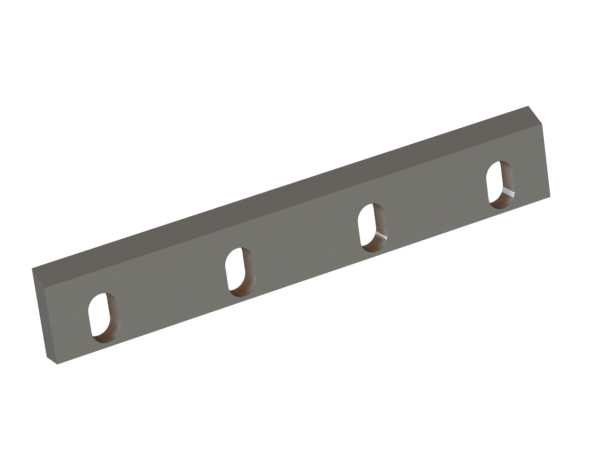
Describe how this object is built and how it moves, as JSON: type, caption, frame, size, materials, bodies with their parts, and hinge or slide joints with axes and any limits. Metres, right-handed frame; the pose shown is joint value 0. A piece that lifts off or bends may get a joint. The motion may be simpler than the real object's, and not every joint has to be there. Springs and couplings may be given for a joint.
{
  "type": "rotor knife",
  "caption": "Flat steel rotor knife for a granulator: a long straight bar with one bevelled cutting edge and slots across it for clamping bolts.",
  "frame": {"origin": "middle of the bottom edge, which is the face opposite the cutting edge", "axes": "+X along the cutting edge, +Y from the bevelled front face to the plain back face, +Z from the bottom edge up to the cutting edge"},
  "size_m": [0.3, 0.0126, 0.05],
  "materials": {
    "tool_steel": "ground"
  },
  "bodies": {
    "root": {"rotor_knife": "tool_steel"}
  },
  "joints": []
}
